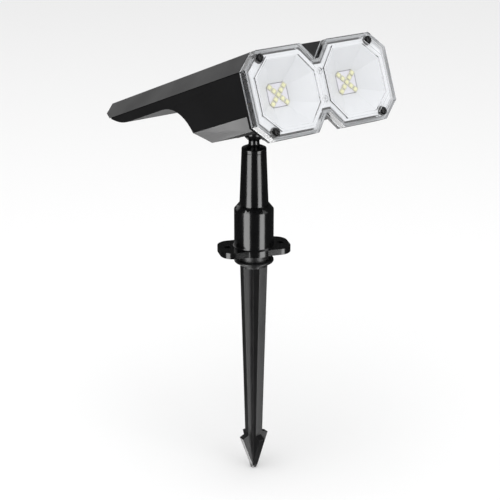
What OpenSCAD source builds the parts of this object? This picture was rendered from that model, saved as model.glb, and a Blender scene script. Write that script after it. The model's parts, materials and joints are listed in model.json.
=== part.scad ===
// Solar garden light: a twin-lens spotlight with a long solar panel on its roof, carried by a
// ball joint on a pole, a screw-down collar and a ground spike.
// Z = 0 is ground level, the underside of the spike's flange. The pole stands on the Z axis and
// the collar's ears point along X.

/* [Head] */
// Width of the head
head_w = 110; // [106:1:116]
// Length of the head from the lens to the tail
head_l = 196.5; // [193:0.5:205]
// Depth of the roof slab under the solar panel
slab_h = 17.7; // [17:0.1:18.5]
// Depth of the front box, behind the lens
box_h = 47.3; // [47:0.1:49]
// Size of the bevels along the top edges
bevel = 11; // [10.5:0.1:11.5]
// Wall thickness of the mouldings
wall = 2.2; // [2:0.1:2.4]
// Face-up tilt of the head as stored
tilt = 22.5; // [0:0.5:35]
// Turn of the head about the pole as stored
turn = 20; // [-60:1:60]

/* [Lens] */
// Height of the lens cover
lens_h = 57; // [56:0.5:59]
// Half width of the notches between the two octagons, at their mouth
notch_w = 10.3; // [9.5:0.1:10.5]
// Half width of the flat at the bottom of a notch
notch_flat = 1.6; // [1:0.1:2]
// Depth of the notches
notch_d = 11; // [10:0.5:12]
// Height of the two raised windows above the cover's rim
window_t = 1.5; // [1:0.1:2]

/* [Solar panel] */
// Width of the panel
panel_w = 84; // [80:0.5:84]
// Length of the panel
panel_l = 162; // [154:0.5:162]
// Rows of cells in each of the two columns
cell_rows = 11; // [6:1:14]

/* [Stand] */
// Height of the ball above the ground
ball_z = 95.5; // [94:0.5:110]
// Radius of the ball
ball_r = 7.7; // [7.5:0.1:7.9]
// Outer radius of the collar
collar_r = 13.85; // [13.5:0.05:14]
// Distance between the two ear holes
ear_spacing = 38; // [37.5:0.5:39]
// Radius of the ear holes
ear_hole_r = 2.25; // [1.8:0.05:2.4]
// Length of the spike below the ground
spike_l = 165; // [150:1:190]

/* [Hidden] */
$fn = 64;
fit = 0.05;                 // radial gap of a running fit
gap = 0.15;                 // gap between faces that only face each other

// The head's own frame: X across, Y back from the lens, Z up, with the roof at Z = 0
lens_t = 7;                 // the housing starts this far behind the cover's rim
gasket_t = 0.6;
box_bevel = 8.8;            // height of its lower side bevels
groove_w = 4;               // half width of the groove under it
groove_d = 5;
cove_r = 35;                // round cove between the box and the slab
cove_y = 108;               // where it meets the slab
box_l = cove_y - sqrt(pow(cove_r, 2) - pow(slab_h + cove_r - box_h, 2));
tail_r = 52;                // arc of the tail's underside
tail_turn = 22;             // slope at which it runs out to the rear edge
tail_y = head_l - 38;       // where the tail starts to curve up
split_z = -bevel;           // parting plane of the two housing shells
seal_t = 0.5;
floor_z = wall - slab_h;    // inside of the slab's floor
ball_y = 88.3;              // ball centre
ball_h = -43.8;

// Solar panel, from the top down
panel_y = 26.6;
glass_top = -0.3;
glass_t = 1.2;
cell_t = 0.3;
panel_board_t = 1.6;
cell_z = glass_top - glass_t - cell_t;
panel_z = cell_z - panel_board_t;
panel_edge = 1.5;           // bare margin around the cells
column_gap = 3.6;           // bare strip between the two columns
row_gap = 1.2;
ledge = 3.5;                // the panel rests on a ledge this wide
tray_t = 2;

// Lens cover and what is behind it
face_t = 2;                 // thickness of the cover's face
rim_w = 5;                  // flat rim around a raised window
eye_side = -2.5;            // inner side of one eye's own outline, before it is inset
screw_x = 42.4;             // cover screws
screw_top = -5.1;
screw_low = 5.1 - lens_h + 0.2;
column_r = 3.2;
lamp_x = 27.2;              // centres of the two light engines
lamp_z = -lens_h / 2;
bowl_y = 2.3;               // front of the reflector
bowl_end = 12.4;            // back of its bowls
bowl_window = 7.8;          // half size of the hole in a bowl's floor
plate_inset = 3.6;          // the reflector's plate stays this far inside the cover
web_screw_z = [-19.2, -36.9];
led_board_side = 17;
led_board_t = 1.6;
led_side = 3;
led_t = 0.85;
led_pitch = 3.8;            // LEDs stand in a cross, along the board's diagonals

// Inside the housing
battery_r = 9.2;            // an 18650 cell with its wrap
battery_l = 65;
battery_y = 52;
battery_z = -28;
cap_t = 0.8;                // the cell's end caps
saddle_x = 24;
control_y = 128;            // control board in the slab, over the button
control_z = -8.6;           // its underside
control_size = [40, 50, 1.6];
post_y = [110, 156];        // screws that join the shells
post_x = 46.5;
lead_r = 0.7;

// Button under the slab
button_y = 134;
button_r = 5.4;
button_out = 1;             // it stands out this far
button_travel = 1.2;
bezel_t = 0.8;
switch_side = 6;
switch_t = 2.8;
plunger_t = 0.8;

// Ball socket
socket_r = 10.5;
socket_top = ball_h + 0.6;  // face between the housing's cup and its ring
socket_low = ball_h - 2.4;  // underside of the ring
lug_x = 13.4;
lug_r = 2.8;

// The stand, in heights above the ground
neck_r = 3.8;
cap_r = 8.6;
pole_top = ball_z - 15;
pole_top_r = 8.65;
pole_r = 10.1;              // foot of the pole, inside the collar
pole_foot = 24.5;
plug_r = 6.5;
plug_l = 18;
collar_top = 42.5;
plate_z = 7.7;              // underside of the ear plate
plate_t = 4.3;
shoulder_r = 10.9;          // the spike's shoulder, in a counterbore of the collar
shoulder_t = 1.2;
plate_size = [50.4, 26];
plate_corner = 9;
flange_r = 14;
flange_t = 2.5;
rib_t = 4.6;
rib_top = 10.3;             // half width of a rib under the flange
rib_low = 6.1;              // and above the barbs
barb_w = 11.1;
barb_z = 27 - spike_l;

// ---- shared shapes ----
// Outline moved inwards by d; its points run counter-clockwise
function unit(v) = v / norm(v);
function normal_in(a, b) = let (u = unit(b - a)) [-u[1], u[0]];
function inset(p, d) = [for (i = [0 : len(p) - 1])
    let (a = p[(i + len(p) - 1) % len(p)], b = p[i], c = p[(i + 1) % len(p)],
         m = normal_in(a, b), n = normal_in(b, c))
    b + d * (m + n) / (1 + m * n)];
function arc(centre, r, from, to, steps) = [for (i = [0 : steps])
    let (a = from + (to - from) * i / steps) centre + r * [cos(a), sin(a)]];
// Rectangle with cut corners, as (x, z) about a centre
function cut_box(x, z, w, h, c) = [
    [x + w - c, z + h], [x - w + c, z + h], [x - w, z + h - c], [x - w, z - h + c],
    [x - w + c, z - h], [x + w - c, z - h], [x + w, z - h + c], [x + w, z + h - c]];

// Two octagons side by side, as (x, z)
function lens_outline() = let (w = head_w / 2, h = lens_h, c = bevel) [
    [w - c, 0], [notch_w, 0], [notch_flat, -notch_d], [-notch_flat, -notch_d],
    [-notch_w, 0], [c - w, 0], [-w, -c], [-w, c - h], [c - w, -h], [-notch_w, -h],
    [-notch_flat, notch_d - h], [notch_flat, notch_d - h], [notch_w, -h], [w - c, -h],
    [w, c - h], [w, -c]];
// One of the two, with wider cuts at the cover's screws
function eye_outline() = let (w = head_w / 2, h = lens_h, c = bevel + 3.5,
        d = notch_d * (notch_w - eye_side) / (notch_w - notch_flat)) [
    [w - c, 0], [notch_w, 0], [eye_side, -d], [eye_side, d - h], [notch_w, -h],
    [w - c, -h], [w, c - h], [w, -c]];
// Cross-section of the head behind the lens, as (x, z)
function head_section() = let (w = head_w / 2) [
    [w - bevel, 0], [bevel - w, 0], [-w, -bevel], [-w, box_bevel - box_h],
    [bevel - w, -box_h], [-groove_w, -box_h], [0, groove_d - box_h], [groove_w, -box_h],
    [w - bevel, -box_h], [w, box_bevel - box_h], [w, -bevel]];
// Side view of the head, as (y, z)
function head_profile() = let (
        cove_from = acos((box_l - cove_y) / cove_r),
        tail_run = head_l - tail_y - tail_r * sin(tail_turn),
        tail_rise = tail_r * (1 - cos(tail_turn)) + tail_run * tan(tail_turn)) concat(
    [[head_l, 0], [lens_t, 0], [lens_t, -box_h]],
    arc([cove_y, -slab_h - cove_r], cove_r, cove_from, 90, 14),
    arc([tail_y, tail_r - slab_h], tail_r, -90, tail_turn - 90, 8),
    [[head_l, tail_rise - slab_h]]);

// Extrudes an (x, z) outline along Y from y0 to y1
module across(y0, y1, outline)
    translate([0, y1, 0]) rotate([90, 0, 0]) linear_extrude(y1 - y0) polygon(outline);
// Extrudes a (y, z) outline along X, centred
module along(width, outline)
    rotate([90, 0, 90]) linear_extrude(width, center = true) polygon(outline);
// Cylinder along Y
module pin_y(x, z, r, y0, y1)
    translate([x, y0, z]) rotate([-90, 0, 0]) cylinder(r = r, h = y1 - y0);
// Cylinder along Z
module pin_z(x, y, r, z0, z1) translate([x, y, z0]) cylinder(r = r, h = z1 - z0);
// Box from its lowest corner to its highest
module span(a, b) translate(a) cube(b - a);
// Solid block of the head, shrunk by d on every side
module head_block(d) intersection() {
    along(head_w, inset(head_profile(), d));
    across(0, head_l + 1, inset(head_section(), d));
}
// The stretch of a head shape between two heights
module between(z0, z1) intersection() {
    children();
    span([-head_w, 0, z0], [head_w, head_l + 10, z1]);
}
// Puts the head's own frame on the ball, at its stored tilt and turn
module on_ball()
    translate([0, 0, ball_z]) rotate([-tilt, 0, turn]) translate([0, -ball_y, -ball_h])
        children();
module each_lens_screw() for (s = [-1, 1], z = [screw_top, screw_low])
    translate([s * screw_x, 0, z]) children();
module each_post() for (s = [-1, 1], y = post_y) translate([s * post_x, y, 0]) children();
module cross_slot(size, depth) for (a = [0, 90]) rotate([0, 0, a])
    translate([-size / 2, -0.35, -depth]) cube([size, 0.7, 2 * depth]);
// A pan-head screw that points down, with its head's underside at Z = 0
module screw(shank_r, shank_l, head_r, head_t) {
    translate([0, 0, -shank_l]) cylinder(r = shank_r, h = shank_l);
    difference() {
        rotate_extrude() polygon([[0, 0], [head_r, 0], [head_r, 0.5 * head_t],
            [0.7 * head_r, head_t], [0, head_t]]);
        translate([0, 0, head_t]) cross_slot(1.3 * head_r, 0.6 * head_t);
    }
}
// A wire through a list of points
module lead(points) for (i = [1 : len(points) - 1]) hull() for (p = [points[i - 1], points[i]])
    translate(p) sphere(r = lead_r, $fn = 10);

// ---- housing ----
module housing_lower() color([0.13, 0.13, 0.14]) on_ball() {
    difference() {
        union() {
            between(-60, split_z - seal_t) head_block(0);
            between(-60, split_z - seal_t) across(lens_t, lens_t + wall, lens_outline());
            for (s = [-1, 1]) pin_y(s * screw_x, screw_low, 3, lens_t, 14);
            pin_z(0, ball_y, socket_r, socket_top, floor_z);
            for (s = [-1, 1]) {
                pin_z(s * lug_x, ball_y, lug_r, socket_top, floor_z);
                span([s * lug_x / 2 - lug_x / 2, ball_y - 1.5, socket_top],
                     [s * lug_x / 2 + lug_x / 2, ball_y + 1.5, floor_z]);
            }
            span([-6, box_l - 1, socket_top], [6, ball_y, floor_z]);
        }
        head_block(wall);
        // two openings for the reflector's bowls, with a bar between them
        for (s = [-1, 1]) between(-60, split_z - 1.2) intersection() {
            across(lens_t - 1, lens_t + 2 * wall, inset(head_section(), wall));
            span([s * 30 - 25, 0, -60], [s * 30 + 25, 20, 0]);
        }
        for (s = [-1, 1]) pin_y(s * screw_x, screw_low, 1.25, lens_t - 1, 13.5);
        for (z = web_screw_z) pin_y(0, z, 0.95, lens_t - 1, lens_t + 1);
        translate([0, ball_y, ball_h]) sphere(r = ball_r + fit);
        for (s = [-1, 1]) pin_z(s * lug_x, ball_y, 1, socket_top - 1, socket_top + 9);
        pin_z(0, button_y, button_r + fit, -slab_h - 1, 0);
        each_post() pin_z(0, 0, 1.5, -slab_h - 1, 0);
        each_post() pin_z(0, 0, 2.7, -slab_h - 1, 1.6 - slab_h);
    }
    difference() {
        between(floor_z - 1, split_z - seal_t) each_post() pin_z(0, 0, 3.4, floor_z - 0.4, 0);
        each_post() pin_z(0, 0, 1.5, -slab_h - 1, 0);
        each_post() pin_z(0, 0, 2.7, -slab_h - 1, 1.6 - slab_h);
    }
    for (s = [-1, 1], y = [107, 150]) pin_z(s * 17, y, 2.2, floor_z - 1, control_z - gap);
    // posts that carry the reflector's web
    for (z = web_screw_z) difference() {
        pin_y(0, z, 2.8, bowl_y + 1.2 + gap, lens_t + wall);
        pin_y(0, z, 0.95, 0, lens_t + 1);
    }
}
module housing_top() color([0.13, 0.13, 0.14]) on_ball() difference() {
    union() {
        between(split_z, 1) difference() {
            head_block(0);
            head_block(wall);
        }
        intersection() {
            head_block(0);
            union() {
                span([-panel_w / 2 - wall, panel_y - wall, panel_z - tray_t],
                     [panel_w / 2 + wall, panel_y + panel_l + wall, -1]);
                between(split_z, -1) each_post() pin_z(0, 0, 3.4, split_z, 0);
                for (s = [-1, 1]) pin_y(s * screw_x, screw_top, 3, lens_t, 14);
            }
        }
    }
    span([-panel_w / 2 - gap, panel_y - gap, panel_z - 0.05],
         [panel_w / 2 + gap, panel_y + panel_l + gap, 1]);
    span([ledge - panel_w / 2, panel_y + ledge, panel_z - 2 * tray_t],
         [panel_w / 2 - ledge, panel_y + panel_l - ledge, 0]);
    for (s = [-1, 1]) pin_y(s * screw_x, screw_top, 1.25, 0, 13.5);
    each_post() pin_z(0, 0, 1.25, split_z - 1, split_z + 6);
}
module housing_seal() color("dimgray") on_ball() difference() {
    span([0.4 - head_w / 2, lens_t + 0.4, split_z - seal_t],
         [head_w / 2 - 0.4, tail_y + 24.4, split_z]);
    span([1.8 - head_w / 2, lens_t + 1.8, split_z - 1],
         [head_w / 2 - 1.8, tail_y + 23, split_z + 1]);
}
module housing_screws() color("silver") on_ball() each_post()
    translate([0, 0, 1.6 - slab_h]) rotate([180, 0, 0]) screw(1.2, slab_h - 8, 2.4, 1.4);

// ---- solar panel ----
module solar_glass() color([0.5, 0.6, 0.8, 0.4]) on_ball()
    span([-panel_w / 2, panel_y, glass_top - glass_t],
         [panel_w / 2, panel_y + panel_l, glass_top]);
module solar_cells() color([0.25, 0.3, 0.55]) on_ball() {
    row = (panel_l - 2 * panel_edge + row_gap) / cell_rows;
    cell_w = (panel_w - 2 * panel_edge - column_gap) / 2;
    for (s = [0, 1], i = [0 : cell_rows - 1])
        translate([panel_edge - panel_w / 2 + s * (cell_w + column_gap),
                   panel_y + panel_edge + i * row, cell_z])
            cube([cell_w, row - row_gap, cell_t]);
}
module panel_board() color([0.1, 0.12, 0.28]) on_ball()
    span([-panel_w / 2, panel_y, panel_z], [panel_w / 2, panel_y + panel_l, cell_z]);

// ---- lens and lamps ----
module lens_cover() color([0.9, 0.93, 0.95, 0.35]) on_ball() difference() {
    union() {
        difference() {
            union() {
                across(0, lens_t - gasket_t, lens_outline());
                for (m = [0, 1]) mirror([m, 0, 0])
                    across(-window_t, face_t, inset(eye_outline(), rim_w));
            }
            across(face_t, lens_t, inset(lens_outline(), wall));
            for (m = [0, 1]) mirror([m, 0, 0])
                across(face_t - window_t, lens_t, inset(eye_outline(), rim_w + 1.8));
        }
        each_lens_screw() pin_y(0, 0, column_r, 1, lens_t - gap);
    }
    each_lens_screw() pin_y(0, 0, 1.5, -5, 10);
    for (z = web_screw_z) pin_y(0, z, 2.3, face_t - 1, lens_t);
}
module lens_gasket() color("gray") on_ball() difference() {
    across(lens_t - gasket_t, lens_t, inset(lens_outline(), 0.3));
    across(0, lens_t + 1, inset(lens_outline(), wall - 0.1));
    each_lens_screw() pin_y(0, 0, column_r + gap, 0, lens_t + 1);
}
module lens_screws() color([0.06, 0.06, 0.06]) on_ball() each_lens_screw()
    rotate([90, 0, 0]) screw(1.2, 12.5, 2.6, 1.4);
module bowl(grow) hull() {
    across(bowl_y, bowl_y + 0.01, inset(eye_outline(), 7 - 1.1 * grow));
    across(bowl_end - 0.01, bowl_end,
           cut_box(lamp_x, lamp_z, bowl_window + grow, bowl_window + grow, 2.4));
}
module reflector() color([0.93, 0.93, 0.92]) on_ball() difference() {
    union() {
        difference() {
            across(bowl_y, bowl_y + 1.2, inset(lens_outline(), plate_inset));
            each_lens_screw() pin_y(0, 0, column_r + 0.3, -5, lens_t);
        }
        for (m = [0, 1]) mirror([m, 0, 0]) {
            bowl(1);
            across(bowl_end - 0.8, bowl_end + led_board_t,
                   cut_box(lamp_x, lamp_z, 9.8, 9.8, 2));
        }
    }
    for (m = [0, 1]) mirror([m, 0, 0]) {
        bowl(0);
        across(bowl_y - 1, bowl_y + 0.005, inset(eye_outline(), 7));
        across(bowl_end - 0.9, bowl_end + 0.1,
               cut_box(lamp_x, lamp_z, bowl_window, bowl_window, 2.4));
        across(bowl_end, bowl_end + 5, cut_box(lamp_x, lamp_z, 8.6, 8.6, 1.5));
    }
    for (z = web_screw_z) pin_y(0, z, 1.2, 0, 10);
}
module reflector_screws() color("silver") on_ball() for (z = web_screw_z)
    translate([0, bowl_y, z]) rotate([90, 0, 0]) screw(0.9, 5, 1.8, 1.1);
module led_board(side) across(bowl_end + 0.05, bowl_end + 0.05 + led_board_t,
    cut_box(side * lamp_x, lamp_z, led_board_side / 2, led_board_side / 2, 1.5));
module led_group(side) {
    spots = concat([[0, 0]], [for (r = [led_pitch, 2 * led_pitch], a = [45 : 90 : 315])
        r * [cos(a), sin(a)]]);
    for (p = spots)
        translate([side * lamp_x + p[0], bowl_end + 0.05 - led_t / 2, lamp_z + p[1]])
            rotate([0, 45, 0]) cube([led_side, led_t, led_side], center = true);
}
module led_board_left() color([0.85, 0.82, 0.9]) on_ball() led_board(-1);
module led_board_right() color([0.85, 0.82, 0.9]) on_ball() led_board(1);
module leds_left() color([0.95, 0.92, 0.6]) on_ball() led_group(-1);
module leds_right() color([0.95, 0.92, 0.6]) on_ball() led_group(1);

// ---- battery and electronics ----
module battery_cradle() color([0.1, 0.1, 0.1]) on_ball() difference() {
    union() {
        for (s = [-1, 1]) span([s * saddle_x - 5, battery_y - 10.5, wall - box_h + gap],
                               [s * saddle_x + 5, battery_y + 10.5, battery_z]);
        for (s = [-1, 1]) span([-saddle_x, battery_y + s * 9.4 - 1, battery_z - 6],
                               [saddle_x, battery_y + s * 9.4 + 1, battery_z - 2]);
    }
    translate([-50, battery_y, battery_z]) rotate([0, 90, 0])
        cylinder(r = battery_r + fit, h = 100);
}
module battery_cell() color([0.2, 0.45, 0.75]) on_ball()
    translate([-battery_l / 2 + cap_t, battery_y, battery_z]) rotate([0, 90, 0])
        cylinder(r = battery_r, h = battery_l - 2 * cap_t);
module battery_end_caps() color("silver") on_ball() {
    for (s = [-1, 1]) translate([s * (battery_l - cap_t) / 2, battery_y, battery_z])
        rotate([0, 90, 0]) cylinder(r = battery_r - 0.8, h = cap_t, center = true);
    translate([battery_l / 2, battery_y, battery_z]) rotate([0, 90, 0]) cylinder(r = 3, h = 1);
}
module control_board() color([0.1, 0.4, 0.2]) on_ball()
    translate([-control_size[0] / 2, control_y - control_size[1] / 2, control_z])
        cube(control_size);
module controller_chips() color([0.08, 0.08, 0.08]) on_ball()
    for (c = [[-10, 118, 5, 6], [-11, 130, 4, 3], [11, 128, 3, 3]])
        span([c[0] - c[2] / 2, c[1] - c[3] / 2, control_z - 1.6],
             [c[0] + c[2] / 2, c[1] + c[3] / 2, control_z]);
module storage_inductor() color([0.3, 0.3, 0.32]) on_ball()
    pin_z(10, 116, 4, control_z - 4.2, control_z);
module charge_capacitor() color([0.15, 0.15, 0.3]) on_ball()
    pin_z(-11, 143, 3.2, control_z - 5, control_z);
module button_switch() color([0.2, 0.2, 0.2]) on_ball() {
    span([-switch_side / 2, button_y - switch_side / 2, control_z - switch_t],
         [switch_side / 2, button_y + switch_side / 2, control_z]);
    pin_z(0, button_y, 1.6, control_z - switch_t - plunger_t, control_z - 1);
}
module battery_leads() color([0.7, 0.1, 0.1]) on_ball() for (s = [-1, 1])
    lead([[s * (battery_l / 2 + 1.9), battery_y, battery_z], [s * 38, 58, -16],
          [s * 16, 92, -11], [s * 12, 107, control_z - lead_r - 0.05]]);
module panel_leads() color([0.1, 0.1, 0.6]) on_ball() for (s = [-1, 1])
    lead([[s * 5, 62, panel_z - lead_r - 0.05], [s * 5, 80, -9],
          [s * 4, 107, control_z - lead_r - 0.05]]);
module led_leads(side) for (s = [-1, 1]) {
    dz = s * 1.2;
    lead([[side * 24 + dz, bowl_end + led_board_t + lead_r + 0.1, -22],
          [side * 24 + dz, 30, -14], [side * 18 + dz, 70, -9.8],
          [side * 8.4 + dz / 1.2, 107, control_z - lead_r - 0.05]]);
}
module led_leads_left() color([0.9, 0.9, 0.9]) on_ball() led_leads(-1);
module led_leads_right() color([0.9, 0.9, 0.9]) on_ball() led_leads(1);

// ---- button ----
module mode_button() color([0.3, 0.3, 0.32]) on_ball() {
    stem_top = control_z - switch_t - plunger_t - button_travel - 0.1;
    pin_z(0, button_y, button_r, -slab_h - button_out, floor_z + 0.5);
    pin_z(0, button_y, button_r + 1.2, floor_z + 0.1, floor_z + 1);
    pin_z(0, button_y, 1.8, floor_z, stem_top);
}
module button_bezel() color([0.1, 0.1, 0.1]) on_ball() difference() {
    pin_z(0, button_y, button_r + 2.8, -slab_h - bezel_t, -slab_h);
    pin_z(0, button_y, button_r + fit, -slab_h - 2, 0);
}

// ---- ball joint ----
module socket_ring() color([0.12, 0.12, 0.13]) on_ball() difference() {
    union() {
        pin_z(0, ball_y, socket_r, socket_low, socket_top - gap);
        for (s = [-1, 1]) {
            pin_z(s * lug_x, ball_y, lug_r, socket_low + 0.6, socket_top - gap);
            span([s * lug_x / 2 - lug_x / 2, ball_y - 1.5, socket_low + 0.6],
                 [s * lug_x / 2 + lug_x / 2, ball_y + 1.5, socket_top - gap]);
        }
    }
    translate([0, ball_y, ball_h]) sphere(r = ball_r + fit);
    for (s = [-1, 1]) pin_z(s * lug_x, ball_y, 1.2, socket_low - 1, socket_top + 1);
}
module ring_screws() color("silver") on_ball() for (s = [-1, 1])
    translate([s * lug_x, ball_y, socket_low + 0.6]) rotate([180, 0, 0])
        screw(0.95, 9, 1.9, 1.2);
module ball_stud() color([0.08, 0.08, 0.08]) {
    translate([0, 0, ball_z]) sphere(r = ball_r);
    rotate_extrude() polygon([
        [0, pole_top - plug_l], [plug_r - 0.8, pole_top - plug_l],
        [plug_r, pole_top - plug_l + 0.8], [plug_r, pole_top + 0.1], [cap_r, pole_top + 0.1],
        [cap_r, pole_top + 2.7], [neck_r + 0.9, pole_top + 4.5], [neck_r, pole_top + 5.5],
        [neck_r, ball_z - 3], [0, ball_z - 3]]);
}

// ---- stand ----
module pole() color([0.08, 0.08, 0.08]) rotate_extrude() polygon([
    [plug_r + fit, pole_top], [pole_top_r, pole_top], [pole_r, collar_top + 1],
    [pole_r, pole_foot], [pole_r - 2, pole_foot], [pole_r - 2, collar_top],
    [plug_r + fit, pole_top - plug_l - 1]]);
module wall_collar() color([0.07, 0.07, 0.07]) difference() {
    union() {
        rotate_extrude() polygon([
            [0, plate_z], [collar_r + 0.9, plate_z], [collar_r + 0.9, plate_z + plate_t],
            [collar_r, plate_z + plate_t + 1.5], [collar_r, collar_top - 3.5],
            [pole_r + 1, collar_top], [0, collar_top]]);
        for (k = [[1, 0], [0, 1]])
            translate([-plate_size[0] / 2 + k[0] * plate_corner,
                       -plate_size[1] / 2 + k[1] * plate_corner, plate_z])
                cube([plate_size[0] - 2 * k[0] * plate_corner,
                      plate_size[1] - 2 * k[1] * plate_corner, plate_t]);
        for (x = [-1, 1], y = [-1, 1])
            pin_z(x * (plate_size[0] / 2 - plate_corner), y * (plate_size[1] / 2 - plate_corner),
                  plate_corner, plate_z, plate_z + plate_t);
    }
    pin_z(0, 0, pole_r + fit, 0, collar_top + 1);
    pin_z(0, 0, shoulder_r + gap, 0, plate_z + shoulder_t);
    for (s = [-1, 1]) pin_z(s * ear_spacing / 2, 0, ear_hole_r, 0, 20);
}
module ground_spike() color([0.12, 0.12, 0.12]) rotate([0, 0, turn]) {
    rotate_extrude() polygon(concat(
        [[0, -3], [rib_top - 0.6, -3], [rib_top - 0.2, 0], [flange_r - 1.2, 0]],
        arc([flange_r - 1.2, flange_t / 2], 1.2, -80, 80, 6),
        [[flange_r - 1.2, flange_t], [shoulder_r, flange_t],
         [shoulder_r, plate_z + shoulder_t - gap], [pole_r, plate_z + shoulder_t - gap],
         [pole_r, pole_foot - 0.5], [0, pole_foot - 0.5]]));
    for (a = [0, 90]) rotate([0, 0, a]) translate([0, rib_t / 2, 0]) rotate([90, 0, 0])
        linear_extrude(rib_t) polygon([
            [rib_top, -2], [-rib_top, -2], [-rib_low, barb_z + 2], [-barb_w, barb_z],
            [-1.8, 2 - spike_l], [0, -spike_l], [1.8, 2 - spike_l], [barb_w, barb_z],
            [rib_low, barb_z + 2]]);
}

housing_lower();
housing_top();
housing_seal();
housing_screws();
solar_glass();
solar_cells();
panel_board();
lens_cover();
lens_gasket();
lens_screws();
reflector();
reflector_screws();
led_board_left();
led_board_right();
leds_left();
leds_right();
battery_cradle();
battery_cell();
battery_end_caps();
control_board();
controller_chips();
storage_inductor();
charge_capacitor();
button_switch();
battery_leads();
panel_leads();
led_leads_left();
led_leads_right();
mode_button();
button_bezel();
socket_ring();
ring_screws();
ball_stud();
pole();
wall_collar();
ground_spike();
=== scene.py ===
import json
import math

import bmesh
import bpy
from mathutils import Matrix, Vector
from mathutils.geometry import area_tri, tessellate_polygon


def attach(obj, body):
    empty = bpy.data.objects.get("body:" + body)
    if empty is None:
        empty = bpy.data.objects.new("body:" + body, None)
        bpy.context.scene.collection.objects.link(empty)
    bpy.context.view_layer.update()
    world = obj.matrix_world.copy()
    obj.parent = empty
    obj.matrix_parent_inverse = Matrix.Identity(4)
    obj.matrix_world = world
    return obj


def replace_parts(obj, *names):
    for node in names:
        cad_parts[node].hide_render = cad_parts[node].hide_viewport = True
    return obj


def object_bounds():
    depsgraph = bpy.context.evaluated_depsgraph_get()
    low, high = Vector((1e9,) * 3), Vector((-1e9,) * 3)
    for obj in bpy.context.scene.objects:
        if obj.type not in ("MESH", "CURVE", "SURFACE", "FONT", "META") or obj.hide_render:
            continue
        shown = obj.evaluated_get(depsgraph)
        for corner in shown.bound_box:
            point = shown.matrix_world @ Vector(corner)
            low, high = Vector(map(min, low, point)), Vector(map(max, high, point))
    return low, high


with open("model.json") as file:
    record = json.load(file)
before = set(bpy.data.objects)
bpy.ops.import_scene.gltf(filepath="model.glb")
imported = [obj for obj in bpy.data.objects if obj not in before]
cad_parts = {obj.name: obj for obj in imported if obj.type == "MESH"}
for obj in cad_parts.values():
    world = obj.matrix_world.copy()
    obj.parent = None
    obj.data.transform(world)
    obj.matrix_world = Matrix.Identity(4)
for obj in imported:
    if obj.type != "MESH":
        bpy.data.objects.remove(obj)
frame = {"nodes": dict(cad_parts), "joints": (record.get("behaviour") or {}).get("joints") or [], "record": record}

cadLow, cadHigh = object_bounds()
nodes = frame["nodes"]
mm = 0.001
weld = 0.003 * mm  # corners closer than this are one corner
print("frame loaded:", len(nodes), "nodes")

# The head's own axes: X across, Y back from the lens, Z up out of the panel, from the ball's centre
jointNamed = {joint["name"]: joint for joint in frame["joints"]}
ballCentre = Vector(jointNamed["head_tilt"]["pos_m"])
headX = Vector(jointNamed["head_tilt"]["axis"]).normalized()
headZ = Vector(jointNamed["button_press"]["axis"]).normalized()
headAxes = Matrix((headX, headZ.cross(headX), headZ)).transposed().to_4x4()
headAxes.translation = ballCentre


def boxCorners(points):  # the lowest and highest corner of the box round some points
    return [Vector([pick(point[i] for point in points) for i in range(3)]) for pick in (min, max)]


def headSolids(name):  # the box of each separate solid of a node, in the head's axes
    mesh = bmesh.new()
    mesh.from_mesh(nodes[name].data)
    bmesh.ops.remove_doubles(mesh, verts=mesh.verts, dist=weld)
    waiting, boxes = set(mesh.verts), []
    while waiting:
        solid, edge = set(), {waiting.pop()}
        while edge:
            solid |= edge
            edge = {link.other_vert(vert) for vert in edge for link in vert.link_edges} - solid
        waiting -= solid
        boxes.append(boxCorners([headAxes.inverted() @ vert.co for vert in solid]))
    mesh.free()
    return boxes


# The camera stands in front of the lens and a little to its left, and looks down on the light
cameraPlace = {"azimuth": -14.7, "elevation": 21.3, "distance": 1.028, "lens": 104, "sensor": 36,
               "aimAside": 0.0041, "aimUp": 0.0007}


def makeCamera(place):
    azimuth, elevation = math.radians(place["azimuth"]), math.radians(place["elevation"])
    back = Vector((math.sin(azimuth) * math.cos(elevation),
                   -math.cos(azimuth) * math.cos(elevation), math.sin(elevation)))
    aside = Vector((math.cos(azimuth), math.sin(azimuth), 0))
    middle = (cadLow + cadHigh) / 2
    aim = middle + aside * place["aimAside"] + Vector((0, 0, place["aimUp"]))
    data = bpy.data.cameras.new("camera")
    data.lens, data.sensor_width = place["lens"], place["sensor"]
    camera = bpy.data.objects.new("camera", data)
    camera.location = aim + back * place["distance"]
    camera.rotation_euler = (-back).to_track_quat("-Z", "Y").to_euler()
    bpy.context.scene.collection.objects.link(camera)
    bpy.context.scene.camera = camera


makeCamera(cameraPlace)
print("camera set")


def linear(hexColour):  # sRGB hex to the linear values that the shader takes
    channels = [int(hexColour[i:i + 2], 16) / 255 for i in (1, 3, 5)]
    return [c / 12.92 if c <= 0.04045 else ((c + 0.055) / 1.055) ** 2.4 for c in channels] + [1]


def addNode(tree, kind, inputs=None, **settings):  # an input takes a value, or a socket to link to
    node = tree.nodes.new(kind)
    for name, value in settings.items():
        setattr(node, name, value)
    for name, value in (inputs or {}).items():
        if isinstance(value, bpy.types.NodeSocket):
            tree.links.new(value, node.inputs[name])
        else:
            node.inputs[name].default_value = value
    return node


def perSize(size):  # texture scale whose features are this many millimetres across
    return 1 / (size * mm)


def startMaterial(name):
    material = bpy.data.materials.new(name)
    material.use_nodes = True
    tree = material.node_tree
    tree.nodes.clear()
    return material, tree, addNode(tree, "ShaderNodeTexCoord").outputs["Object"]


def finishMaterial(tree, shader):
    addNode(tree, "ShaderNodeOutputMaterial", {"Surface": shader})


# A moulded or coated skin: its colour and gloss drift slowly, and a fine grain stands on it
driftDetail, grainDetail = 3, 2
noiseSpan = (0.3, 0.7)  # nearly all of a noise texture's values lie between these


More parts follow.
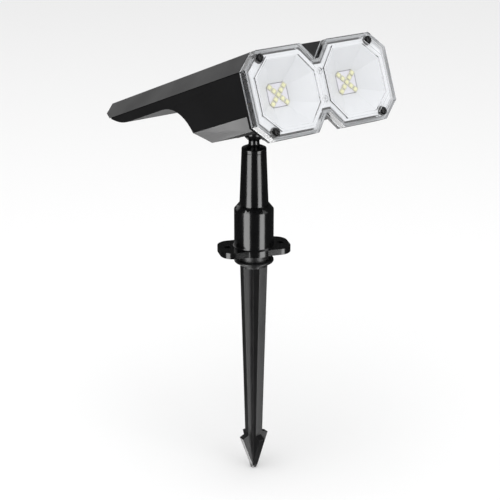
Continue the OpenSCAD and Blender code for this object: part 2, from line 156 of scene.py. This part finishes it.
def skin(name, look):
    material, tree, place = startMaterial(name)
    drift = addNode(tree, "ShaderNodeTexNoise", {
        "Vector": place, "Scale": perSize(look["drift"]), "Detail": driftDetail}).outputs["Fac"]
    grain = addNode(tree, "ShaderNodeTexNoise", {
        "Vector": place, "Scale": perSize(look["grain"]), "Detail": grainDetail}).outputs["Fac"]
    colour = addNode(tree, "ShaderNodeMix", {
        "Factor": drift, 6: linear(look["dark"]), 7: linear(look["light"])}, data_type="RGBA")
    gloss = addNode(tree, "ShaderNodeMapRange", {
        "Value": drift, "From Min": noiseSpan[0], "From Max": noiseSpan[1],
        "To Min": look["rough"][0], "To Max": look["rough"][1]})
    relief = addNode(tree, "ShaderNodeBump", {
        "Height": grain, "Distance": look["depth"] * mm, "Strength": 1})
    shader = addNode(tree, "ShaderNodeBsdfPrincipled", {
        "Base Color": colour.outputs[2], "Roughness": gloss.outputs["Result"],
        "IOR": look["ior"], "Specular IOR Level": look["shine"],
        "Metallic": look.get("metal", 0), "Normal": relief.outputs["Normal"]})
    finishMaterial(tree, shader.outputs["BSDF"])
    return material


# ABS moulded in a spark-eroded tool: a soft black with an even, slightly rough sheen.
# The real grain is about 0.1 mm across, and is drawn coarser so that it shows.
mouldedAbs = skin("moulded_abs", {
    "dark": "#161617", "light": "#1d1d1f", "drift": 30, "grain": 0.7, "depth": 0.03,
    "rough": (0.42, 0.5), "ior": 1.53, "shine": 0.5})
# The same ABS from a polished tool: deep black with long clear highlights
polishedAbs = skin("polished_abs", {
    "dark": "#0a0a0b", "light": "#0e0e0f", "drift": 18, "grain": 5, "depth": 0.02,
    "rough": (0.14, 0.2), "ior": 1.53, "shine": 0.5})
# Polypropylene has a waxy surface, so the spike is greyer and softer than the pole
satinPolypropylene = skin("satin_polypropylene", {
    "dark": "#151516", "light": "#1c1c1d", "drift": 14, "grain": 1.2, "depth": 0.04,
    "rough": (0.32, 0.42), "ior": 1.49, "shine": 0.5})
# Rubber parts are the darkest and flattest of the blacks
matteRubber = skin("matte_rubber", {
    "dark": "#0b0b0b", "light": "#121212", "drift": 8, "grain": 0.8, "depth": 0.02,
    "rough": (0.62, 0.75), "ior": 1.52, "shine": 0.35})
# The button's silicone is a shade greyer, so that it stands out from the housing round it
greyButtonRubber = skin("button_rubber", {
    "dark": "#232325", "light": "#2b2b2d", "drift": 6, "grain": 0.6, "depth": 0.02,
    "rough": (0.5, 0.6), "ior": 1.43, "shine": 0.4})
# Milky silicone gasket, seen as a pale line behind the clear cover
siliconeGasket = skin("silicone_gasket", {
    "dark": "#b4b6b8", "light": "#c6c8ca", "drift": 8, "grain": 0.8, "depth": 0.02,
    "rough": (0.45, 0.55), "ior": 1.43, "shine": 0.4})
# Reflectors moulded in white polycarbonate: bright, with a satin roll-off in the bowls
satinReflector = skin("satin_reflector", {
    "dark": "#dedfe1", "light": "#e9eaeb", "drift": 12, "grain": 1.5, "depth": 0.01,
    "rough": (0.3, 0.38), "ior": 1.58, "shine": 0.5})
# White solder mask over aluminium looks slightly violet beside the reflector
whiteSolderMask = skin("white_solder_mask", {
    "dark": "#dddae3", "light": "#e6e4ea", "drift": 3, "grain": 0.8, "depth": 0.01,
    "rough": (0.28, 0.36), "ior": 1.55, "shine": 0.5})
# LED packages are moulded in a white resin, which the phosphor beside it tints a dull yellow
ledPackage = skin("led_package", {
    "dark": "#c9c6a0", "light": "#d8d6b4", "drift": 1, "grain": 0.5, "depth": 0.01,
    "rough": (0.3, 0.4), "ior": 1.5, "shine": 0.5})
# Silicone filled with phosphor is a pale, glossy yellow while the light is off
yellowPhosphor = skin("yellow_phosphor", {
    "dark": "#ebe8a8", "light": "#f3f1c6", "drift": 0.8, "grain": 0.3, "depth": 0.01,
    "rough": (0.3, 0.4), "ior": 1.41, "shine": 0.5})
# Zinc plating is a pale grey metal with a satin, cloudy gloss
zincSteel = skin("zinc_plated_steel", {
    "dark": "#9a9c9e", "light": "#b4b6b8", "drift": 1.5, "grain": 0.4, "depth": 0.01,
    "rough": (0.25, 0.38), "ior": 1.5, "shine": 0.5, "metal": 1})
# Black oxide screws: a dark, oily conversion coating that still glints on its edges
blackOxide = skin("black_oxide_steel", {
    "dark": "#0d0d0e", "light": "#161618", "drift": 1.5, "grain": 0.4, "depth": 0.01,
    "rough": (0.28, 0.4), "ior": 1.5, "shine": 0.6})
# The reflector's screws are drawn in a white lacquer whose paleness is partly a painted reflection of a bright
# studio, so they hide between the two bowls
whiteLacquerAndReflection = skin("white_lacquer_and_painted_reflection", {
    "dark": "#d6d7d8", "light": "#e2e3e4", "drift": 2, "grain": 0.5, "depth": 0.01,
    "rough": (0.22, 0.32), "ior": 1.5, "shine": 0.5})
# Bare aluminium round the solder mask, drawn as a thin grey line that also stands in as the painted shadow of the
# reflector's window edge
aluminiumAndPaintedShade = skin("aluminium_and_painted_shade", {
    "dark": "#77757c", "light": "#8c8a91", "drift": 1, "grain": 0.3, "depth": 0.01,
    "rough": (0.35, 0.5), "ior": 1.5, "shine": 0.5, "metal": 0.8})
# Nickel plating on the cell's caps is brighter and warmer than zinc
nickelSteel = skin("nickel_plated_steel", {
    "dark": "#b8b4ab", "light": "#c9c5bc", "drift": 2, "grain": 0.4, "depth": 0.005,
    "rough": (0.16, 0.24), "ior": 1.5, "shine": 0.5, "metal": 1})
# Shrink wrap is a thin glossy PVC film with faint wrinkles
shrinkWrap = skin("pvc_shrink_wrap", {
    "dark": "#1a4f8a", "light": "#2260a0", "drift": 12, "grain": 3, "depth": 0.05,
    "rough": (0.2, 0.3), "ior": 1.53, "shine": 0.5})
# Green solder mask is a glossy varnish over the dark weave of the board
greenSolderMask = skin("green_solder_mask", {
    "dark": "#0c3d22", "light": "#14522e", "drift": 4, "grain": 0.8, "depth": 0.02,
    "rough": (0.25, 0.35), "ior": 1.55, "shine": 0.5})
# Chips are moulded in a filled epoxy: charcoal, with a dry matt face
epoxyPackage = skin("epoxy_package", {
    "dark": "#17181a", "light": "#1f2022", "drift": 1, "grain": 0.25, "depth": 0.01,
    "rough": (0.5, 0.6), "ior": 1.55, "shine": 0.4})
# Sintered ferrite is a dull dark ceramic with a faint grain
sinteredFerrite = skin("sintered_ferrite", {
    "dark": "#2a2b2d", "light": "#37383a", "drift": 1, "grain": 0.3, "depth": 0.02,
    "rough": (0.55, 0.68), "ior": 1.6, "shine": 0.5})
# Extruded PVC on the leads is smooth, with a soft even sheen along each wire
redPvc = skin("red_pvc_lead", {
    "dark": "#8a1614", "light": "#a31f1b", "drift": 4, "grain": 0.6, "depth": 0.01,
    "rough": (0.35, 0.45), "ior": 1.53, "shine": 0.5})
bluePvc = skin("blue_pvc_lead", {
    "dark": "#173a86", "light": "#1f48a0", "drift": 4, "grain": 0.6, "depth": 0.01,
    "rough": (0.35, 0.45), "ior": 1.53, "shine": 0.5})
whitePvc = skin("white_pvc_lead", {
    "dark": "#c9c9c6", "light": "#dededb", "drift": 4, "grain": 0.6, "depth": 0.01,
    "rough": (0.35, 0.45), "ior": 1.53, "shine": 0.5})
# The panel's board is a laminate in navy under the cells
navyLaminate = skin("navy_laminate", {
    "dark": "#10164a", "light": "#161d5c", "drift": 12, "grain": 0.8, "depth": 0.01,
    "rough": (0.35, 0.45), "ior": 1.5, "shine": 0.5})
# Fired silver paste is a matt metal. The blue in its colour is a painted reflection of the cells round it
silverPaste = skin("silver_paste", {
    "dark": "#6b7196", "light": "#7c82a6", "drift": 3, "grain": 0.3, "depth": 0.01,
    "rough": (0.35, 0.5), "ior": 1.5, "shine": 0.5, "metal": 0.6})


# Silicon under its nitride coating: deep blue, each cell of a slightly different shade. Printed
# silver fingers, 0.1 mm wide in life, cross each cell and are drawn wider so that they show.
cellLook = {"dark": "#27357e", "light": "#46529c", "cloud": 22, "cloudShare": 0.5,
            "finger": "#5a67a8", "pitch": 1.9, "width": 0.14,
            "rough": 0.35, "ior": 2.0, "shine": 0.4}


def siliconCell(look):
    material, tree, place = startMaterial("silicon_cell")
    each = addNode(tree, "ShaderNodeNewGeometry").outputs["Random Per Island"]
    cloud = addNode(tree, "ShaderNodeTexNoise", {
        "Vector": place, "Scale": perSize(look["cloud"]), "Detail": driftDetail}).outputs["Fac"]
    mixed = addNode(tree, "ShaderNodeMix", {
        "Factor": look["cloudShare"], 2: each, 3: cloud}).outputs[0]
    blue = addNode(tree, "ShaderNodeMix", {
        "Factor": mixed, 6: linear(look["dark"]), 7: linear(look["light"])}, data_type="RGBA")
    inHead = addNode(tree, "ShaderNodeMapping", {
        "Vector": place, "Location": ballCentre, "Rotation": headAxes.to_euler()},
        vector_type="TEXTURE").outputs["Vector"]
    across = addNode(tree, "ShaderNodeSeparateXYZ", {"Vector": inHead}).outputs["X"]
    steps = addNode(tree, "ShaderNodeMath", {0: across, 1: look["pitch"] * mm}, operation="DIVIDE")
    saw = addNode(tree, "ShaderNodeMath", {0: steps.outputs[0]}, operation="FRACT").outputs[0]
    finger = addNode(tree, "ShaderNodeMath", {0: saw, 1: look["width"]}, operation="LESS_THAN")
    colour = addNode(tree, "ShaderNodeMix", {
        "Factor": finger.outputs[0], 6: blue.outputs[2], 7: linear(look["finger"])},
        data_type="RGBA")
    shader = addNode(tree, "ShaderNodeBsdfPrincipled", {
        "Base Color": colour.outputs[2], "Roughness": look["rough"], "IOR": look["ior"],
        "Specular IOR Level": look["shine"]})
    finishMaterial(tree, shader.outputs["BSDF"])
    return material


# Clear mouldings and glass: light from the lamps passes them as it does a thin real one
def clearMaterial(name, look):
    material, tree, place = startMaterial(name)
    ripple = addNode(tree, "ShaderNodeTexNoise", {
        "Vector": place, "Scale": perSize(look["ripple"]), "Detail": 1}).outputs["Fac"]
    relief = addNode(tree, "ShaderNodeBump", {
        "Height": ripple, "Distance": look["depth"] * mm, "Strength": 1})
    solid = addNode(tree, "ShaderNodeBsdfPrincipled", {
        "Base Color": linear(look["tint"]), "Roughness": look["rough"], "IOR": look["ior"],
        "Transmission Weight": 1, "Normal": relief.outputs["Normal"]})
    straight = addNode(tree, "ShaderNodeBsdfTransparent", {"Color": linear(look["shade"])})
    rays = addNode(tree, "ShaderNodeLightPath")
    passed = addNode(tree, "ShaderNodeMath", {
        0: rays.outputs["Is Shadow Ray"], 1: rays.outputs["Is Diffuse Ray"]}, operation="MAXIMUM")
    both = addNode(tree, "ShaderNodeMixShader", {
        0: passed.outputs[0], 1: solid.outputs["BSDF"], 2: straight.outputs["BSDF"]})
    finishMaterial(tree, both.outputs["Shader"])
    return material


# Polycarbonate, injection moulded: water clear with grey, glinting edges
clearPolycarbonate = clearMaterial("clear_polycarbonate", {
    "tint": "#f1f2f4", "shade": "#fafafa", "rough": 0.04, "ior": 1.585,
    "ripple": 14, "depth": 0.02})
# Float glass is flatter and clearer, and mirrors its surroundings without a ripple
floatGlass = clearMaterial("float_glass", {
    "tint": "#f9fbfb", "shade": "#f8fafa", "rough": 0.03, "ior": 1.5,
    "ripple": 40, "depth": 0.01})
print("materials made:", len(bpy.data.materials))


crease = 34  # degrees: faces that meet at more than this keep a sharp edge between them


def addPiece(name, mesh, material, body):  # a bmesh in the frame's axes becomes a piece
    data = bpy.data.meshes.new(name)
    mesh.to_mesh(data)
    mesh.free()
    data.shade_smooth()
    data.set_sharp_from_angle(angle=math.radians(crease))
    piece = bpy.data.objects.new(name, data)
    data.materials.append(material)
    bpy.context.scene.collection.objects.link(piece)
    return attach(piece, body)


# How the CAD's edges are rounded. flatCut and sharpTurn are in degrees, inWall in millimetres and
# leastFace in square millimetres. cover is how far a sound face's triangles may exceed its area.
softening = {"flatCut": 0.6, "sharpTurn": 24, "steps": 3, "inWall": 0.05, "leastFace": 1.0,
             "cover": 1.0005, "tries": 4}


def inWall(point, walls):
    return any(abs((point - corner).dot(normal)) <= softening["inWall"] * mm
               for corner, normal in walls)


# A node's mesh without its flat cuts, and with its long sharp edges rounded as far as the corners
# near them leave room. Corners and edges that lie in one of the walls stay as they are.
def roundedMesh(name, look, walls):
    mesh = bmesh.new()
    mesh.from_mesh(nodes[name].data)
    bmesh.ops.remove_doubles(mesh, verts=mesh.verts, dist=weld)
    free = [vert for vert in mesh.verts if not inWall(vert.co, walls)]
    loose = set(free)
    bmesh.ops.dissolve_limit(mesh, angle_limit=math.radians(softening["flatCut"]), verts=free,
                             edges=[edge for edge in mesh.edges
                                    if edge.verts[0] in loose or edge.verts[1] in loose])
    chosen = [edge for edge in mesh.edges
              if edge.is_manifold and edge.calc_length() > look["least"] * mm
              and abs(edge.calc_face_angle()) > math.radians(softening["sharpTurn"])
              and not inWall((edge.verts[0].co + edge.verts[1].co) / 2, walls)]
    bmesh.ops.bevel(mesh, geom=chosen, offset=look["round"] * mm, segments=softening["steps"],
                    profile=0.5, affect="EDGES", clamp_overlap=True, offset_type="OFFSET")
    return mesh, len(chosen)


def isTangled(face):  # folded or crossed, so that its triangles cover more than its own area
    if len(face.verts) < 5 or face.calc_area() < softening["leastFace"] * mm ** 2:
        return False
    outline = [vert.co for vert in face.verts]
    covered = sum(area_tri(*[outline[i] for i in triple])
                  for triple in tessellate_polygon([outline]))
    return covered > softening["cover"] * face.calc_area()


# Stands a rounded copy in for a CAD node
def softened(name, material, look):
    walls = []  # the planes of faces that came out tangled
    mesh, count = roundedMesh(name, look, walls)
    for again in range(softening["tries"]):
        tangled = [face for face in mesh.faces if isTangled(face)]
        if not tangled:
            break
        walls += [(face.verts[0].co.copy(), face.normal.copy()) for face in tangled]
        mesh.free()
        mesh, count = roundedMesh(name, look, walls)
    body = [b for b, parts in frame["record"]["behaviour"]["bodies"].items() if name in parts][0]
    piece = addPiece(name + "_skin", mesh, material, body)
    weighted = piece.modifiers.new("flat_faces", "WEIGHTED_NORMAL")
    weighted.keep_sharp = True
    print(name, "softened on", count, "edges")
    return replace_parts(piece, name)


# Each piece's rounding, and the shortest edge that takes it, in millimetres
rounding = {
    "housing_lower": (mouldedAbs, {"round": 0.4, "least": 6}),
    "housing_top": (mouldedAbs, {"round": 0.4, "least": 6}),
    "lens_cover": (clearPolycarbonate, {"round": 0.3, "least": 4}),
    "wall_collar": (polishedAbs, {"round": 0.4, "least": 1}),
    "pole": (polishedAbs, {"round": 0.3, "least": 1}),
    "ball_stud": (polishedAbs, {"round": 0.3, "least": 0.3}),
    "ground_spike": (satinPolypropylene, {"round": 0.35, "least": 1}),
    "socket_ring": (mouldedAbs, {"round": 0.25, "least": 0.5}),
    "mode_button": (greyButtonRubber, {"round": 0.3, "least": 0.2}),
    "button_bezel": (mouldedAbs, {"round": 0.25, "least": 0.2}),
    "solar_glass": (floatGlass, {"round": 0.2, "least": 5}),
}
for name, (material, look) in rounding.items():
    softened(name, material, look)

# The other nodes keep their own shape and take a finish
finishes = {
    mouldedAbs: ["battery_cradle"],
    matteRubber: ["housing_seal"],
    siliconeGasket: ["lens_gasket"],
    satinReflector: ["reflector"],
    zincSteel: ["housing_screws", "ring_screws"],
    whiteLacquerAndReflection: ["reflector_screws"],
    blackOxide: ["lens_screws"],
    navyLaminate: ["panel_board"],
    siliconCell(cellLook): ["solar_cells"],
    whiteSolderMask: ["led_board_left", "led_board_right"],
    ledPackage: ["leds_left", "leds_right"],
    shrinkWrap: ["battery_cell"],
    nickelSteel: ["battery_end_caps"],
    greenSolderMask: ["control_board"],
    epoxyPackage: ["controller_chips", "charge_capacitor", "button_switch"],
    sinteredFerrite: ["storage_inductor"],
    redPvc: ["battery_leads"],
    bluePvc: ["panel_leads"],
    whitePvc: ["led_leads_left", "led_leads_right"],
}
for material, names in finishes.items():
    for name in names:
        nodes[name].data.materials.clear()
        nodes[name].data.materials.append(material)
print("finishes on", sum(len(names) for names in finishes.values()), "nodes")


# Revolves (radius, height) points about Z and puts the closed solid at a place
def turnSolid(mesh, profile, steps, place):
    rings = []
    for radius, height in profile:
        turns = [math.tau * i / steps for i in range(steps)] if radius > 0 else [0]
        rings.append([mesh.verts.new(place @ Vector((radius * math.cos(turn) * mm,
                                                     radius * math.sin(turn) * mm, height * mm)))
                      for turn in turns])
    for low, high in zip(rings, rings[1:]):
        for i in range(steps):
            j = (i + 1) % steps
            around = [low[i % len(low)], low[j % len(low)],
                      high[j % len(high)], high[i % len(high)]]
            mesh.faces.new(list(dict.fromkeys(around)))


def boxSolid(mesh, low, high):  # a block between two corners in the head's axes
    middle, size = (low + high) / 2, high - low
    bmesh.ops.create_cube(mesh, size=1, matrix=headAxes @ Matrix.Translation(middle)
                          @ Matrix.Diagonal(size).to_4x4())


# Silicone filled with phosphor stands as a shallow dome in each LED package
dome = {"radius": 1.2, "rise": 0.35, "sunk": 0.1, "rings": 5, "steps": 20}


def addDomes(side):
    mesh = bmesh.new()
    for low, high in headSolids("leds_" + side):
        front = Vector(((low.x + high.x) / 2, low.y, (low.z + high.z) / 2))
        slopes = [math.pi / 2 * i / dome["rings"] for i in range(dome["rings"])]
        profile = [(0, -dome["sunk"]), (dome["radius"], -dome["sunk"])]
        profile += [(dome["radius"] * math.cos(a), dome["rise"] * math.sin(a)) for a in slopes]
        profile += [(0, dome["rise"])]
        turnSolid(mesh, profile, dome["steps"],
                  headAxes @ Matrix.Translation(front) @ Matrix.Rotation(math.pi / 2, 4, "X"))
    addPiece("phosphor_domes_" + side, mesh, yellowPhosphor, "head")


# A rim of bare metal runs round each LED board, where its white mask stops short. Its grey is partly painted
# shade, standing in for the shadow at the window's edge
boardRim = {"half": 7.75, "cut": 2.4, "width": 0.45, "rise": 0.04}


def cutSquare(half, cut):  # corners of a square with cut corners
    quarter = [Vector((half, half - cut)), Vector((half - cut, half))]
    return [Vector((x * point.x, y * point.y)) for x, y, points in
            ((1, 1, quarter), (-1, 1, quarter[::-1]), (-1, -1, quarter), (1, -1, quarter[::-1]))
            for point in points]


def addBoardRim(side):
    low, high = headSolids("led_board_" + side)[0]
    rounds = []
    for half, y in ((boardRim["half"], 0), (boardRim["half"], -boardRim["rise"]),
                    (boardRim["half"] - boardRim["width"], -boardRim["rise"]),
                    (boardRim["half"] - boardRim["width"], 0)):
        cut = boardRim["cut"] * half / boardRim["half"]
        rounds.append([Vector(((low.x + high.x) / 2 + point.x * mm, low.y + y * mm,
                               (low.z + high.z) / 2 + point.y * mm))
                       for point in cutSquare(half, cut)])
    mesh = bmesh.new()
    loops = [[mesh.verts.new(headAxes @ corner) for corner in corners] for corners in rounds]
    for a, b in zip(loops, loops[1:] + loops[:1]):
        for i in range(len(a)):
            j = (i + 1) % len(a)
            mesh.faces.new([a[i], a[j], b[j], b[i]])
    bmesh.ops.recalc_face_normals(mesh, faces=mesh.faces)
    # the rim's grey is partly painted shade from the window's edge
    addPiece("board_rim_" + side, mesh, aluminiumAndPaintedShade, "head")


for side in ("left", "right"):
    addDomes(side)
    addBoardRim(side)

# One silver ribbon runs along the middle of each cell
ribbon = {"width": 1.1, "thick": 0.06, "margin": 0.6}


def addRibbons():
    mesh = bmesh.new()
    for low, high in headSolids("solar_cells"):
        middle = (low.y + high.y) / 2
        boxSolid(mesh,
                 Vector((low.x + ribbon["margin"] * mm, middle - ribbon["width"] / 2 * mm, high.z)),
                 Vector((high.x - ribbon["margin"] * mm, middle + ribbon["width"] / 2 * mm,
                         high.z + ribbon["thick"] * mm)))
    # the ribbons' blue tint is a painted reflection of the cells
    addPiece("cell_ribbons", mesh, silverPaste, "head")


addRibbons()
print("domes, rims and ribbons added")


# A white floor and sky light the object softly. Long panels, seen only in reflections, draw its
# gloss.
studio = {"floor": "#f4f4f4", "floorRadius": 6, "floorSides": 96, "floorRough": 0.9,
          "floorShine": 0.1, "sky": 0.88, "reflectedSky": 0.045}


def makeFloor(place):
    mesh = bmesh.new()
    bmesh.ops.create_circle(mesh, cap_ends=True, segments=place["floorSides"],
                            radius=place["floorRadius"])
    data = bpy.data.meshes.new("floor")
    mesh.to_mesh(data)
    mesh.free()
    floor = bpy.data.objects.new("floor", data)
    floor.location.z = cadLow.z
    floor.visible_glossy = floor.visible_shadow = False
    material, tree, _ = startMaterial("matt_paper")
    shader = addNode(tree, "ShaderNodeBsdfPrincipled", {
        "Base Color": linear(place["floor"]), "Roughness": place["floorRough"],
        "Specular IOR Level": place["floorShine"]})
    finishMaterial(tree, shader.outputs["BSDF"])
    data.materials.append(material)
    bpy.context.scene.collection.objects.link(floor)


def makeWorld(place):
    world = bpy.data.worlds.new("studio")
    world.use_nodes = True
    tree = world.node_tree
    tree.nodes.clear()
    rays = addNode(tree, "ShaderNodeLightPath")
    mirrored = addNode(tree, "ShaderNodeMath", {
        0: rays.outputs["Is Glossy Ray"], 1: rays.outputs["Is Transmission Ray"]},
        operation="SUBTRACT")
    strength = addNode(tree, "ShaderNodeMapRange", {
        "Value": mirrored.outputs[0],
        "To Min": place["sky"], "To Max": place["reflectedSky"]})
    light = addNode(tree, "ShaderNodeBackground", {
        "Color": (1, 1, 1, 1), "Strength": strength.outputs["Result"]})
    addNode(tree, "ShaderNodeOutputWorld", {"Surface": light.outputs["Background"]})
    bpy.context.scene.world = world


# Places a panel of light by its bearing and rise from the object. Its radiance is how bright it
# looks, and one that doesn't light the scene is seen only in gloss.
def addPanel(name, panel):
    bearing, rise = math.radians(panel["bearing"]), math.radians(panel["rise"])
    way = Vector((math.sin(bearing) * math.cos(rise), -math.cos(bearing) * math.cos(rise),
                  math.sin(rise)))
    data = bpy.data.lights.new(name, "AREA")
    data.shape, data.size, data.size_y = "RECTANGLE", *panel["size"]
    data.energy = panel["radiance"] * math.pi * panel["size"][0] * panel["size"][1]
    lamp = bpy.data.objects.new(name, data)
    lamp.location = (cadLow + cadHigh) / 2 + way * panel["distance"]
    lamp.rotation_euler = way.to_track_quat("Z", "Y").to_euler()
    lamp.visible_camera = lamp.visible_transmission = False
    lamp.visible_diffuse = panel["lights"]
    lamp.visible_glossy = not panel["lights"]
    if "only" in panel:  # this panel shows on these nodes' pieces and on nothing else
        shown = bpy.data.collections.new(name + "_shows_on")
        for node in panel["only"]:
            shown.objects.link(bpy.data.objects[node + "_skin"])
        lamp.light_linking.receiver_collection = shown
    bpy.context.scene.collection.objects.link(lamp)


# The stand's gloss is drawn by two strips of its own, which would blind the clear cover
glossyStand = ["pole", "wall_collar", "ball_stud", "ground_spike"]
panels = {
    "overhead": {"bearing": -40, "rise": 68, "distance": 1.5, "size": (1.6, 1.6), "radiance": 1.3,
                 "lights": True},
    "front_fill": {"bearing": 30, "rise": 25, "distance": 1.6, "size": (0.9, 0.9), "radiance": 1.5,
                   "lights": True},
    "left_strip": {"bearing": -56, "rise": -8, "distance": 1.2, "size": (0.75, 1.8),
                   "radiance": 6, "lights": False, "only": glossyStand},
    "right_strip": {"bearing": 33, "rise": -24, "distance": 1.2, "size": (0.6, 1.0),
                    "radiance": 6, "lights": False, "only": glossyStand},
    "front_right": {"bearing": 54, "rise": 17, "distance": 1.5, "size": (0.8, 0.8),
                    "radiance": 1.6, "lights": False},
    "back_left": {"bearing": -158, "rise": 16, "distance": 1.5, "size": (1.6, 0.7),
                  "radiance": 0.8, "lights": False},
    "under": {"bearing": -175, "rise": -58, "distance": 1.2, "size": (0.9, 0.55),
              "radiance": 4.6, "lights": False},
}
makeFloor(studio)
makeWorld(studio)
for name, panel in panels.items():
    addPanel(name, panel)
bpy.context.scene.view_settings.view_transform = "Standard"
print("studio lit by", len(panels), "panels")
